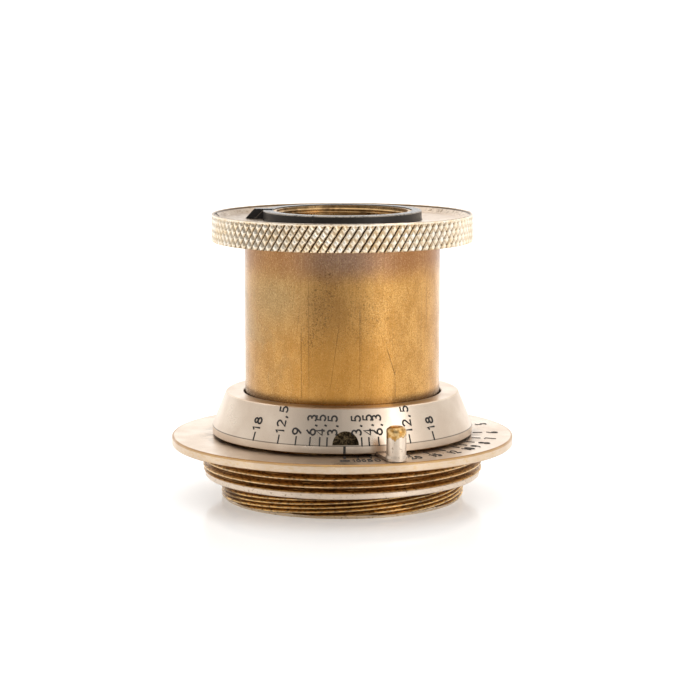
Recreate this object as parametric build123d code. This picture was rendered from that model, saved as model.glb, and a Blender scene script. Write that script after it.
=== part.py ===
from build123d import *
import os
from math import asin, copysign, cos, degrees, radians, sin, sqrt

# Collapsible 50 mm f/3.5 camera lens with a 39 mm screw mount. Millimetres and degrees.
# The optical axis is Z. The rear face of the focusing cam lies at z = 0 and the front points to +Z.
# Bearings run from -Y, the side with the index line, towards +X.

# Screw mount and flange
THREAD_R = 19.5
THREAD_PITCH = 25.4 / 26
THREAD_DEPTH = 0.55
THREAD_CREST = 0.16
THREAD_TURNS = 3
COLLAR_BOTTOM = 3.2
COLLAR_BAND_TOP = 4.0
FLANGE_R = 23.81
FLANGE_BOTTOM = 7.5
FLANGE_TOP = 8.77
UNDERCUT_R = 18.9
RELIEF_R = 19.7
RELIEF_DEPTH = 0.15
EDGE_BREAK = 0.12

# Focusing screw: the sleeve turns in the collar and climbs by one lead in each turn
HELICOID_R = 16.95
RUNNING_GAP = 0.05
LOOSE_GAP = 0.1
CATCH_GAP = 0.15
FOCUS_LEAD = 5.65
FOCUS_TURN = 156.6
SEAL_R = 17.55
SEAL_HEIGHT = 0.5

# Focusing sleeve and its depth scale ring
SLEEVE_SHOULDER = 9.09
SLEEVE_NECK_R = 15.9
SLEEVE_TOP = 14.1
SLEEVE_BORE_R = 14.25
LIP_BOTTOM = 10.05
LIP_TOP = 11.35
BRAKE_POCKET_R = 15.0
SCALE_BAND_R = 18.13
SCALE_BAND_TOP = 10.16
SCALE_TOP_R = 16.16
SCALE_TOP = 14.93
SCALE_HOLE_R = 13.75

# Sliding tube
TUBE_R = 13.53
TUBE_BORE_R = 12.9
TUBE_BOTTOM = 7.3
TUBE_TOP = 37.6
LUG_R = 14.15
LUG_BOTTOM = 8.0
LUG_TOP = 10.0
LUG_WIDTH = 24
LUG_BEARINGS = (60, 180, 300)

# Knurled front ring
FRONT_R = 18.05
FRONT_BOTTOM = 35.79
FRONT_TOP = 39.64
DISH_FLOOR = 38.8
DISH_FLOOR_R = 17.0
DISH_RIM_R = 17.8
FRONT_CENTRE_R = 11.03

# Aperture ring
IRIS_TURN = 72
RING_R = 10.98
RING_BORE_R = 9.62
RING_TOP = 40.07
RING_FOOT_R = 12.2
RING_FOOT_BOTTOM = 36.75
RING_FOOT_TOP = 37.5
TAB_BEARING = -95
TAB_TOP = 40.2
TAB_FLAT_R = 12.15
TAB_TIP_R = 13.4
TAB_WIDTH = 1.5

# Lens barrel and iris
BARREL_R = 12.85
BARREL_FRONT_R = 9.57
BARREL_BORE_R = 9.1
BARREL_TOP = 39.95
CELL_SEAT_R = 8.9
FRONT_CELL_TOP = 38.5
BARREL_BOTTOM = 31.9
CHAMBER_R = 12.1
PLATE_BOTTOM = 35.55
PLATE_TOP = 36.65
CAM_R = 12.0
CAM_BORE_R = 8.0
CAM_BOTTOM = 34.65
CAM_TOP = 35.45
BLADE_COUNT = 10
BLADE_THICKNESS = 0.1
BLADE_STEP = 0.15
BLADE_BOTTOM = 33.05
BLADE_PIVOT_R = 10.9
BLADE_OPEN_R = 6.9
BLADE_OUTER_R = 10.4
BLADE_TIP_R = 9.3
BLADE_START = 4
BLADE_SPAN = 138
BLADE_PIN_R = 0.25
BLADE_LUG_R = 0.55
BLADE_ARM = 4.2
SMALLEST_STOP_R = 1.35
BASE_BOTTOM = 32.15
BASE_TOP = 32.95
LINK_R = 11.5
LINK_BEARINGS = (85, 265)

# Glass
FRONT_GLASS_R = 7.5
REAR_GLASS_R = 7.0
REAR_CELL_R = 8.6
REAR_CELL_BOTTOM = 21.3

# Infinity catch
CATCH_BEARING = 18.7
KNOB_R = 1.315
KNOB_ORBIT = 22.1
KNOB_TOP = 13.4
CATCH_PLATE_BOTTOM = 8.85
CATCH_PLATE_TOP = 9.25
CATCH_PLATE_HALF = 1.35
CATCH_ROOT_R = 18.1
TOOTH_BOTTOM = 8.65
TOOTH_R = 0.6

MIDDLE = (Align.CENTER, Align.CENTER, Align.MIN)


def turned(shape, bearing):
    """A shape built at bearing 0, carried round the axis."""
    return Rot(0, 0, bearing) * shape


def spread(shape, bearings):
    """Copies of a shape round the axis, as separate solids of one piece."""
    return Compound(children=[turned(shape, bearing) for bearing in bearings])


def even(count, first=0):
    return [first + 360 * number / count for number in range(count)]


def post(radius, bottom, top, orbit=0):
    """An upright round bar whose centre is at a given distance from the axis."""
    return Pos(0, -orbit, bottom) * Cylinder(radius, top - bottom, align=MIDDLE)


def ring(outer, inner, bottom, top):
    return post(outer, bottom, top) - post(inner, bottom, top)


def revolved(outline, arc=360):
    """Turn an outline of (radius, height) points about the axis."""
    points = [(0, -radius, height) for radius, height in outline]
    return revolve(make_face(Polyline(*points, close=True)), Axis.Z, arc)


def sector(outer, inner, bottom, top, start, arc):
    outline = [(inner, bottom), (outer, bottom), (outer, top), (inner, top)]
    return turned(revolved(outline, arc), start)


def block(half_width, near_r, far_r, bottom, top):
    """A straight bar that points away from the axis at bearing 0."""
    middle_y = -(near_r + far_r) / 2
    centre = Pos(0, middle_y, (bottom + top) / 2)
    return centre * Box(2 * half_width, far_r - near_r, top - bottom)


def slotted_screw(head_r, head_height, shank_r, bottom, top, orbit):
    """A cheese-head screw with its head at the bottom."""
    slot_depth = head_height / 2
    slot = Pos(0, -orbit, bottom + slot_depth / 2) * Box(3 * head_r, head_r / 3, slot_depth)
    head = post(head_r, bottom, bottom + head_height, orbit) - slot
    return head + post(shank_r, bottom + head_height, top, orbit)


def radial_bar(radius, near_r, far_r, height):
    """A round bar that lies along the radius at bearing 0."""
    return Pos(0, -near_r, height) * Rot(90, 0, 0) * Cylinder(radius, far_r - near_r, align=MIDDLE)


def radial_screw(radius, near_r, far_r, height):
    """A headless screw along the radius, with a driver slot in its outer end."""
    slot_depth = radius / 2
    slot = block(radius / 4, far_r - slot_depth, far_r + radius, height - 2 * radius, height + 2 * radius)
    return radial_bar(radius, near_r, far_r, height) - slot


# ---- Mount: the fixed part that screws into a camera

MOUNT_BORE_R = HELICOID_R + RUNNING_GAP
FLANGE_SCREW_ORBIT = 17.95
FLANGE_SCREW_TIP = 8.35
FLANGE_SCREW_COUNT = 4
FLANGE_SCREWS = even(FLANGE_SCREW_COUNT, 180 / FLANGE_SCREW_COUNT)
STOP_HEIGHT = 6.4
STOP_SCREW_R = 0.6
STOP_TIP_R = 0.4
STOP_REACH_R = 16.2
STOP_BEARING = 180
SCREW_HEAD_R = 0.7
SCREW_HEAD_HEIGHT = 0.6
SCREW_SHANK_R = 0.4


def flange_screws():
    sizes = (SCREW_HEAD_R, SCREW_HEAD_HEIGHT, SCREW_SHANK_R)
    screw = slotted_screw(*sizes, COLLAR_BOTTOM, FLANGE_SCREW_TIP, FLANGE_SCREW_ORBIT)
    return spread(screw, FLANGE_SCREWS)


def flange_screw_holes():
    head = post(SCREW_HEAD_R, COLLAR_BOTTOM, COLLAR_BOTTOM + SCREW_HEAD_HEIGHT, FLANGE_SCREW_ORBIT)
    shank = post(SCREW_SHANK_R, COLLAR_BOTTOM, FLANGE_SCREW_TIP, FLANGE_SCREW_ORBIT)
    return spread(head + shank, FLANGE_SCREWS)


def focus_stop_screw():
    body = radial_screw(STOP_SCREW_R, MOUNT_BORE_R, THREAD_R - THREAD_DEPTH, STOP_HEIGHT)
    tip = radial_bar(STOP_TIP_R, STOP_REACH_R, MOUNT_BORE_R, STOP_HEIGHT)
    return turned(body + tip, STOP_BEARING)


def thread_outline():
    """Half section of the collar, with one V-shaped ridge for each turn of the thread."""
    root_r = THREAD_R - THREAD_DEPTH
    outline = [(MOUNT_BORE_R, COLLAR_BOTTOM), (root_r - EDGE_BREAK, COLLAR_BOTTOM)]
    outline += [(root_r, COLLAR_BOTTOM + EDGE_BREAK), (root_r, COLLAR_BAND_TOP - THREAD_DEPTH / 2)]
    flank = (THREAD_PITCH - THREAD_CREST) / 2
    for turn in range(THREAD_TURNS):
        start = COLLAR_BAND_TOP + turn * THREAD_PITCH
        outline += [(THREAD_R, start), (THREAD_R, start + THREAD_CREST)]
        outline.append((root_r, start + THREAD_CREST + flank))
    outline += [(UNDERCUT_R, FLANGE_BOTTOM), (MOUNT_BORE_R, FLANGE_BOTTOM)]
    return outline


def mount_thread_collar():
    stop_hole = turned(
        radial_bar(STOP_SCREW_R, MOUNT_BORE_R - STOP_TIP_R, THREAD_R, STOP_HEIGHT), STOP_BEARING
    )
    return revolved(thread_outline()) - flange_screw_holes() - stop_hole


def distance_flange():
    outline = [
        (SEAL_R + RUNNING_GAP, FLANGE_BOTTOM),
        (UNDERCUT_R, FLANGE_BOTTOM),
        (UNDERCUT_R, FLANGE_BOTTOM + RELIEF_DEPTH),
        (RELIEF_R, FLANGE_BOTTOM + RELIEF_DEPTH),
        (RELIEF_R, FLANGE_BOTTOM),
        (FLANGE_R - EDGE_BREAK, FLANGE_BOTTOM),
        (FLANGE_R, FLANGE_BOTTOM + EDGE_BREAK),
        (FLANGE_R, FLANGE_TOP - EDGE_BREAK),
        (FLANGE_R - EDGE_BREAK, FLANGE_TOP),
        (MOUNT_BORE_R, FLANGE_TOP),
        (MOUNT_BORE_R, FLANGE_BOTTOM + SEAL_HEIGHT + RUNNING_GAP),
        (SEAL_R + RUNNING_GAP, FLANGE_BOTTOM + SEAL_HEIGHT + RUNNING_GAP),
    ]
    hole_bottom = FLANGE_BOTTOM + SEAL_HEIGHT
    catch_hole = post(TOOTH_R + CATCH_GAP, hole_bottom, FLANGE_TOP, KNOB_ORBIT)
    return revolved(outline) - flange_screw_holes() - turned(catch_hole, CATCH_BEARING)


def grease_seal_ring():
    return ring(SEAL_R, MOUNT_BORE_R, FLANGE_BOTTOM + RUNNING_GAP, FLANGE_BOTTOM + SEAL_HEIGHT)


# ---- Carrier: the sleeve, cam and depth scale, which turn and climb together

STOP_PLAY = 0.15
STOP_GROOVE_R = 16.05
SCALE_SCREW_R = 0.55
SCALE_SCREW_HEIGHT = 9.62
SCALE_SCREWS = (140, 180, 220)
SCALE_SCREW_REACH_R = 15.0
NOTCH_BEARING = 1.4
NOTCH_R = 1.76
NOTCH_HEIGHT = 10.3
NOTCH_DEPTH = 0.5
BRACKET_HALF = 1.9
BRACKET_NEAR_R = 16.1
BRACKET_FAR_R = 17.8
BRACKET_TOP = 9.9
BRACKET_SCREW_R = 0.35
BRACKET_SCREW_TOP = 11.4
BRACKET_SCREW_ORBIT = 16.95
BRACKET_SCREW_SIDE = 1.2


def focus_sleeve():
    outline = [
        (SLEEVE_BORE_R, 0),
        (HELICOID_R - EDGE_BREAK, 0),
        (HELICOID_R, EDGE_BREAK),
        (HELICOID_R, SLEEVE_SHOULDER),
        (SLEEVE_NECK_R, SLEEVE_SHOULDER),
        (SLEEVE_NECK_R, SLEEVE_TOP),
        (BRAKE_POCKET_R, SLEEVE_TOP),
        (BRAKE_POCKET_R, LIP_TOP),
        (TUBE_R + LOOSE_GAP, LIP_TOP),
        (TUBE_R + LOOSE_GAP, LIP_BOTTOM),
        (SLEEVE_BORE_R, LIP_BOTTOM),
    ]
    focus_travel = FOCUS_LEAD * FOCUS_TURN / 360
    play = STOP_TIP_R + STOP_PLAY
    play_arc = degrees(play / STOP_GROOVE_R)
    stop_groove = sector(
        HELICOID_R + play,
        STOP_GROOVE_R,
        STOP_HEIGHT - focus_travel - play,
        STOP_HEIGHT + play,
        STOP_BEARING - FOCUS_TURN - play_arc,
        FOCUS_TURN + 2 * play_arc,
    )
    screw_seat = radial_bar(SCALE_SCREW_R, SCALE_SCREW_REACH_R, SCALE_BAND_R, SCALE_SCREW_HEIGHT)
    bracket_pocket = turned(
        block(BRACKET_HALF, BRACKET_NEAR_R, SCALE_BAND_R, CATCH_PLATE_BOTTOM - RUNNING_GAP, BRACKET_TOP),
        CATCH_BEARING,
    )
    return revolved(outline) - stop_groove - spread(screw_seat, SCALE_SCREWS) - bracket_pocket


def depth_scale_ring():
    outline = [
        (SLEEVE_NECK_R, SLEEVE_SHOULDER),
        (SCALE_BAND_R - EDGE_BREAK, SLEEVE_SHOULDER),
        (SCALE_BAND_R, SLEEVE_SHOULDER + EDGE_BREAK),
        (SCALE_BAND_R, SCALE_BAND_TOP),
        (SCALE_TOP_R + EDGE_BREAK / 2, SCALE_TOP - EDGE_BREAK),
        (SCALE_TOP_R - EDGE_BREAK, SCALE_TOP),
        (SCALE_HOLE_R + EDGE_BREAK, SCALE_TOP),
        (SCALE_HOLE_R, SCALE_TOP - EDGE_BREAK),
        (SCALE_HOLE_R, SLEEVE_TOP),
        (SLEEVE_NECK_R, SLEEVE_TOP),
    ]
    notch_floor_r = SCALE_BAND_R - NOTCH_DEPTH - NOTCH_R / 2
    notch = radial_bar(NOTCH_R, notch_floor_r, SCALE_BAND_R + NOTCH_R, NOTCH_HEIGHT)
    notch -= block(2 * NOTCH_R, TUBE_R, FLANGE_R, SLEEVE_SHOULDER - NOTCH_R, NOTCH_HEIGHT)
    near_r = SLEEVE_NECK_R - RUNNING_GAP
    screw_hole = radial_bar(SCALE_SCREW_R, near_r, SCALE_BAND_R, SCALE_SCREW_HEIGHT)
    bracket_pocket = block(BRACKET_HALF, BRACKET_NEAR_R, BRACKET_FAR_R, SLEEVE_SHOULDER, BRACKET_TOP)
    plate_notch = block(
        CATCH_PLATE_HALF + LOOSE_GAP,
        BRACKET_FAR_R - RUNNING_GAP,
        SCALE_BAND_R + RUNNING_GAP,
        SLEEVE_SHOULDER,
        CATCH_PLATE_TOP + CATCH_GAP,
    )
    catch_cut = turned(bracket_pocket + plate_notch + bracket_screws_at_zero(), CATCH_BEARING)
    return revolved(outline) - turned(notch, NOTCH_BEARING) - spread(screw_hole, SCALE_SCREWS) - catch_cut


def bracket_screws_at_zero():
    screw = post(BRACKET_SCREW_R, CATCH_PLATE_BOTTOM, BRACKET_SCREW_TOP, BRACKET_SCREW_ORBIT)
    return Pos(BRACKET_SCREW_SIDE, 0, 0) * screw + Pos(-BRACKET_SCREW_SIDE, 0, 0) * screw


def catch_bracket():
    body = block(BRACKET_HALF, BRACKET_NEAR_R, BRACKET_FAR_R, CATCH_PLATE_BOTTOM, BRACKET_TOP)
    return turned(body - bracket_screws_at_zero(), CATCH_BEARING)


def catch_bracket_screws():
    return turned(bracket_screws_at_zero(), CATCH_BEARING)


def scale_ring_screws():
    far_r = SCALE_BAND_R - RUNNING_GAP
    screw = radial_screw(SCALE_SCREW_R, SCALE_SCREW_REACH_R, far_r, SCALE_SCREW_HEIGHT)
    return spread(screw, SCALE_SCREWS)


# ---- Infinity catch: a spring plate with the focusing knob at its end

KNOB_DOME = 0.75
KNOB_FOOT_R = 1.5
KNOB_FOOT_TOP = 9.6


def catch_spring_plate():
    middle = (CATCH_PLATE_BOTTOM + CATCH_PLATE_TOP) / 2
    root_r = CATCH_PLATE_TOP - middle
    root = Pos(0, -CATCH_ROOT_R, middle) * Rot(0, 90, 0) * Cylinder(root_r, 2 * CATCH_PLATE_HALF)
    bar = block(CATCH_PLATE_HALF, CATCH_ROOT_R, KNOB_ORBIT, CATCH_PLATE_BOTTOM, CATCH_PLATE_TOP)
    end = post(CATCH_PLATE_HALF, CATCH_PLATE_BOTTOM, CATCH_PLATE_TOP, KNOB_ORBIT)
    rivet_hole = post(TOOTH_R, CATCH_PLATE_BOTTOM, CATCH_PLATE_TOP, KNOB_ORBIT)
    return turned(root + bar + end - rivet_hole, CATCH_BEARING)


def focusing_knob():
    outline = [
        (0, TOOTH_BOTTOM),
        (TOOTH_R, TOOTH_BOTTOM),
        (TOOTH_R, CATCH_PLATE_TOP),
        (KNOB_FOOT_R, CATCH_PLATE_TOP),
        (KNOB_R, KNOB_FOOT_TOP),
        (KNOB_R, KNOB_TOP),
        (0, KNOB_TOP),
    ]
    knob = revolved(outline)
    knob = fillet(knob.edges().sort_by(Axis.Z)[-1], KNOB_DOME)
    return turned(Pos(0, -KNOB_ORBIT, 0) * knob, CATCH_BEARING)


# ---- Brake ring: turns with the tube inside the sleeve and lets the tube slide

BRAKE_RING_R = 14.9
FELT_R = 13.95
BRAKE_GAP_ARC = 4
BRAKE_BOTTOM = 11.45
BRAKE_TOP = 14.0


def brake_ring():
    return sector(BRAKE_RING_R, FELT_R, BRAKE_BOTTOM, BRAKE_TOP, BRAKE_GAP_ARC / 2, 360 - BRAKE_GAP_ARC)


def brake_felt():
    felt_bore_r = TUBE_R + RUNNING_GAP
    return sector(FELT_R, felt_bore_r, BRAKE_BOTTOM, BRAKE_TOP, BRAKE_GAP_ARC / 2, 360 - BRAKE_GAP_ARC)


# ---- Sliding tube

LUG_SCREW_R = 0.45
LOCATING_HEIGHT = 25.3
LOCATING_SCREW_R = 0.55
SEAT_BOTTOM = 24.4
SEAT_TOP = 31.7
SEAT_BORE_R = 12.15
LOCATING_SCREWS = (-90, 150)
CLAMP_BORE_R = 12.3


def lens_tube():
    tube = ring(TUBE_R, TUBE_BORE_R, TUBE_BOTTOM, TUBE_TOP)
    lug_holes = spread(lug_screw(), LUG_BEARINGS)
    return tube - lug_holes - locating_holes()


def locating_holes():
    return spread(radial_bar(LOCATING_SCREW_R, SEAT_BORE_R, TUBE_R, LOCATING_HEIGHT), LOCATING_SCREWS)


def locating_screws():
    return spread(radial_screw(LOCATING_SCREW_R, SEAT_BORE_R, TUBE_R, LOCATING_HEIGHT), LOCATING_SCREWS)


def lug_screw():
    return radial_bar(LUG_SCREW_R, TUBE_BORE_R, LUG_R, (LUG_BOTTOM + LUG_TOP) / 2)


def lug_screws():
    screw = radial_screw(LUG_SCREW_R, TUBE_BORE_R, LUG_R - RUNNING_GAP, (LUG_BOTTOM + LUG_TOP) / 2)
    return spread(screw, LUG_BEARINGS)


def locking_lugs():
    lug = sector(LUG_R, TUBE_R, LUG_BOTTOM, LUG_TOP, -LUG_WIDTH / 2, LUG_WIDTH) - lug_screw()
    return spread(lug, LUG_BEARINGS)


def seat_ring():
    return ring(TUBE_BORE_R, SEAT_BORE_R, SEAT_BOTTOM, SEAT_TOP) - locating_holes()


def barrel_shim():
    return ring(TUBE_BORE_R - RUNNING_GAP, SEAT_BORE_R, SEAT_TOP, BARREL_BOTTOM)


def barrel_clamp_ring():
    return ring(TUBE_BORE_R, CLAMP_BORE_R, PLATE_TOP, TUBE_TOP)


def knurled_front_ring():
    outline = [
        (TUBE_R, FRONT_BOTTOM),
        (FRONT_R - EDGE_BREAK, FRONT_BOTTOM),
        (FRONT_R, FRONT_BOTTOM + EDGE_BREAK),
        (FRONT_R, FRONT_TOP - EDGE_BREAK),
        (FRONT_R - EDGE_BREAK, FRONT_TOP),
        (DISH_RIM_R, FRONT_TOP),
        (DISH_FLOOR_R, DISH_FLOOR),
        (FRONT_CENTRE_R, DISH_FLOOR),
        (FRONT_CENTRE_R, TUBE_TOP),
        (TUBE_R, TUBE_TOP),
    ]
    return revolved(outline)


# ---- Aperture ring and the iris that it works

LINK_PIN_R = 0.35
LINK_SLOT_PLAY = 0.1
TAB_FOOT = DISH_FLOOR + RUNNING_GAP


def link_screws():
    return spread(post(LINK_PIN_R, CAM_BOTTOM, RING_FOOT_TOP, LINK_R), LINK_BEARINGS)


def aperture_ring():
    outline = [
        (RING_BORE_R, RING_FOOT_BOTTOM),
        (RING_FOOT_R, RING_FOOT_BOTTOM),
        (RING_FOOT_R, RING_FOOT_TOP),
        (RING_R, RING_FOOT_TOP),
        (RING_R, RING_TOP - EDGE_BREAK),
        (RING_R - EDGE_BREAK, RING_TOP),
        (RING_BORE_R, RING_TOP),
    ]
    side = Polyline(
        (0, -RING_BORE_R - RUNNING_GAP, TAB_FOOT),
        (0, -TAB_TIP_R, TAB_FOOT),
        (0, -TAB_FLAT_R, TAB_TOP),
        (0, -RING_BORE_R - RUNNING_GAP, TAB_TOP),
        close=True,
    )
    tab = Pos(-TAB_WIDTH / 2, 0, 0) * extrude(make_face(side), TAB_WIDTH, dir=(1, 0, 0))
    tab -= post(RING_BORE_R, TAB_FOOT, TAB_TOP)
    return revolved(outline) + turned(tab, TAB_BEARING) - link_screws()


def lens_barrel():
    outline = [
        (CHAMBER_R, BARREL_BOTTOM),
        (BARREL_R, BARREL_BOTTOM),
        (BARREL_R, PLATE_TOP),
        (BARREL_FRONT_R, PLATE_TOP),
        (BARREL_FRONT_R, BARREL_TOP),
        (BARREL_BORE_R, BARREL_TOP),
        (BARREL_BORE_R, FRONT_CELL_TOP),
        (CELL_SEAT_R, FRONT_CELL_TOP),
        (CELL_SEAT_R, PLATE_BOTTOM),
        (CHAMBER_R, PLATE_BOTTOM),
    ]
    play = LINK_PIN_R + LINK_SLOT_PLAY
    slot = sector(LINK_R + play, LINK_R - play, PLATE_BOTTOM, PLATE_TOP, 0, IRIS_TURN)
    slot += post(play, PLATE_BOTTOM, PLATE_TOP, LINK_R)
    slot += turned(post(play, PLATE_BOTTOM, PLATE_TOP, LINK_R), IRIS_TURN)
    return revolved(outline) - spread(slot, LINK_BEARINGS)


# Each blade turns about a pin near the barrel wall and is driven by a second pin, one arm away.
ARM_ARC = degrees(2 * asin(BLADE_ARM / (2 * BLADE_PIVOT_R)))
BLADE_TURN = degrees(2 * asin((BLADE_OPEN_R - SMALLEST_STOP_R) / (2 * BLADE_PIVOT_R)))
SLOT_STEPS = 12
SLOT_HALF_WIDTH = BLADE_PIN_R + RUNNING_GAP


def at_bearing(radius, bearing, height=0.0):
    return Vector(radius * sin(radians(bearing)), -radius * cos(radians(bearing)), height)


def slot_point(share):
    """Centre of the drive pin, seen from the cam ring, when the iris is closed by a share of its turn."""
    pivot = at_bearing(BLADE_PIVOT_R, 0)
    arm = at_bearing(BLADE_PIVOT_R, ARM_ARC) - pivot
    pin = pivot + arm.rotate(Axis.Z, share * BLADE_TURN)
    return pin.rotate(Axis.Z, -share * IRIS_TURN)


def iris_cam_ring():
    path = [slot_point(step / SLOT_STEPS) for step in range(SLOT_STEPS + 1)]
    cut = Sketch() + trace(Spline(*path), 2 * SLOT_HALF_WIDTH)
    for end in (path[0], path[-1]):
        cut += Pos(end.X, end.Y) * Circle(SLOT_HALF_WIDTH)
    slot = Pos(0, 0, CAM_BOTTOM) * extrude(cut, CAM_TOP - CAM_BOTTOM)
    plate = ring(CAM_R, CAM_BORE_R, CAM_BOTTOM, CAM_TOP)
    return plate - spread(slot, even(BLADE_COUNT)) - link_screws()


def blade_face():
    """A crescent that narrows towards its tip, with a lug for the two pins."""
    tip = BLADE_START + BLADE_SPAN
    half = BLADE_START + BLADE_SPAN / 2
    inner_arc = ThreePointArc(
        at_bearing(BLADE_OPEN_R, BLADE_START), at_bearing(BLADE_OPEN_R, half), at_bearing(BLADE_OPEN_R, tip)
    )
    outer_arc = ThreePointArc(
        at_bearing(BLADE_OUTER_R, BLADE_START),
        at_bearing((BLADE_OUTER_R + BLADE_TIP_R) / 2, half),
        at_bearing(BLADE_TIP_R, tip),
    )
    start_edge = Line(inner_arc @ 0, outer_arc @ 0)
    tip_edge = Line(inner_arc @ 1, outer_arc @ 1)
    crescent = make_face([inner_arc, tip_edge, outer_arc, start_edge])
    pivot = at_bearing(BLADE_PIVOT_R, 0)
    drive = at_bearing(BLADE_PIVOT_R, ARM_ARC)
    lug = trace(Line(pivot, drive), 2 * BLADE_LUG_R)
    for pin in (pivot, drive):
        lug += Pos(pin.X, pin.Y) * Circle(BLADE_LUG_R)
    return Sketch() + crescent + lug


def iris_blade(number):
    bottom = BLADE_BOTTOM + number * BLADE_STEP
    leaf = Pos(0, 0, bottom) * extrude(blade_face(), BLADE_THICKNESS)
    pivot_pin = post(BLADE_PIN_R, BASE_BOTTOM + BLADE_THICKNESS, bottom, BLADE_PIVOT_R)
    drive_pin = post(BLADE_PIN_R, bottom + BLADE_THICKNESS, CAM_TOP - BLADE_THICKNESS, BLADE_PIVOT_R)
    blade = leaf + pivot_pin + turned(drive_pin, ARM_ARC)
    return turned(blade, 360 * number / BLADE_COUNT)


HUB_R = 9.4
HUB_BOTTOM = 30.6
LOCK_RING_BORE_R = 9.6
LOCK_RING_HEIGHT = 0.5


def iris_base_plate():
    outline = [
        (BLADE_OPEN_R, BASE_BOTTOM),
        (REAR_CELL_R, BASE_BOTTOM),
        (REAR_CELL_R, HUB_BOTTOM),
        (HUB_R, HUB_BOTTOM),
        (HUB_R, BASE_BOTTOM),
        (CHAMBER_R, BASE_BOTTOM),
        (CHAMBER_R, BASE_TOP),
        (BLADE_OPEN_R, BASE_TOP),
    ]
    pivot_hole = post(BLADE_PIN_R + RUNNING_GAP, BASE_BOTTOM, BASE_TOP, BLADE_PIVOT_R)
    return revolved(outline) - spread(pivot_hole, even(BLADE_COUNT))


def spanner_slots(near_r, far_r, bottom, top, half_width):
    slot = block(half_width, near_r, far_r, bottom, top)
    return slot + turned(slot, 180)


def iris_lock_ring():
    bottom = BARREL_BOTTOM - LOCK_RING_HEIGHT
    near_r = LOCK_RING_BORE_R - RUNNING_GAP
    slots = spanner_slots(near_r, CHAMBER_R, bottom, BARREL_BOTTOM, SCREW_HEAD_R)
    return ring(CHAMBER_R - RUNNING_GAP, LOCK_RING_BORE_R, bottom, BASE_BOTTOM) - slots


# ---- Glass and its cells

FRONT_CELL_BOTTOM = 35.0
FRONT_CELL_STEP = 35.6
FRONT_CELL_NECK_R = 7.9
FRONT_LIP_R = 6.95
FRONT_LIP_TOP = 35.42
FRONT_WELL_R = 8.2
FRONT_MOUTH_R = 8.65
FRONT_WELL_BOTTOM = 36.5
FRONT_KEEPER_TOP = 37.3
REAR_LIP_R = 6.3
REAR_LIP_BOTTOM = 21.9
REAR_LIP_TOP = 22.5
SPACER_BOTTOM = 26.96
SPACER_TOP = 27.8
REAR_KEEPER_BOTTOM = 31.75
REAR_KEEPER_SLOT = 0.2
CEMENT_GAP = 0.01

# Vertex height and radius of curvature of each glass surface; a positive radius bulges towards +Z.
FRONT_GLASS = (38.3, 16, 35.9, 60)
NEGATIVE_GLASS = (30.9, -30, 29.7, 14)
DOUBLET_FRONT_GLASS = (26.6, -70, 25.6, 13)
DOUBLET_REAR_GLASS = (25.6 - CEMENT_GAP, 13, 21.6, -22)


def surface_height(vertex, curve, radius):
    return vertex - copysign(abs(curve) - sqrt(curve**2 - radius**2), curve)


def glass_element(prescription, edge_r):
    front, front_curve, rear, rear_curve = prescription
    rims = []
    arcs = []
    for vertex, curve in ((front, front_curve), (rear, rear_curve)):
        middle = (0, -edge_r / 2, surface_height(vertex, curve, edge_r / 2))
        rim = (0, -edge_r, surface_height(vertex, curve, edge_r))
        arcs.append(ThreePointArc((0, 0, vertex), middle, rim))
        rims.append(rim)
    axis_line = Line((0, 0, rear), (0, 0, front))
    return revolve(make_face([axis_line, arcs[0], Line(*rims), arcs[1]]), Axis.Z)


def front_element():
    return glass_element(FRONT_GLASS, FRONT_GLASS_R)


def negative_element():
    return glass_element(NEGATIVE_GLASS, REAR_GLASS_R)


def doublet_front_element():
    return glass_element(DOUBLET_FRONT_GLASS, REAR_GLASS_R)


def doublet_rear_element():
    return glass_element(DOUBLET_REAR_GLASS, REAR_GLASS_R)


def front_cell():
    outline = [
        (FRONT_LIP_R, FRONT_CELL_BOTTOM),
        (FRONT_CELL_NECK_R, FRONT_CELL_BOTTOM),
        (FRONT_CELL_NECK_R, FRONT_CELL_STEP),
        (CELL_SEAT_R, FRONT_CELL_STEP),
        (CELL_SEAT_R, FRONT_CELL_TOP),
        (FRONT_MOUTH_R, FRONT_CELL_TOP),
        (FRONT_WELL_R, FRONT_KEEPER_TOP),
        (FRONT_WELL_R, FRONT_WELL_BOTTOM),
        (FRONT_GLASS_R, FRONT_WELL_BOTTOM),
        (FRONT_GLASS_R, FRONT_LIP_TOP),
        (FRONT_LIP_R, FRONT_LIP_TOP),
    ]
    return revolved(outline)


def front_keeper_ring():
    keeper_bore_r = FRONT_LIP_R + 2 * EDGE_BREAK
    keeper_bottom = surface_height(FRONT_GLASS[0], FRONT_GLASS[1], keeper_bore_r)
    outline = [
        (keeper_bore_r, keeper_bottom),
        (FRONT_WELL_R, keeper_bottom),
        (FRONT_WELL_R, FRONT_KEEPER_TOP),
        (keeper_bore_r + EDGE_BREAK, FRONT_KEEPER_TOP),
    ]
    slot_floor = (keeper_bottom + FRONT_KEEPER_TOP) / 2
    slots = spanner_slots(FRONT_LIP_R, BARREL_R, slot_floor, FRONT_KEEPER_TOP + EDGE_BREAK, SCREW_SHANK_R)
    return revolved(outline) - slots


def rear_cell():
    outline = [
        (REAR_LIP_R, REAR_LIP_BOTTOM),
        (REAR_GLASS_R + EDGE_BREAK, REAR_CELL_BOTTOM),
        (REAR_CELL_R - EDGE_BREAK, REAR_CELL_BOTTOM),
        (REAR_CELL_R, REAR_CELL_BOTTOM + EDGE_BREAK),
        (REAR_CELL_R, BASE_BOTTOM),
        (REAR_GLASS_R, BASE_BOTTOM),
        (REAR_GLASS_R, REAR_LIP_TOP),
        (REAR_LIP_R, REAR_LIP_TOP),
    ]
    return revolved(outline)


def element_spacer():
    return ring(REAR_GLASS_R, REAR_LIP_R, SPACER_BOTTOM, SPACER_TOP)


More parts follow.
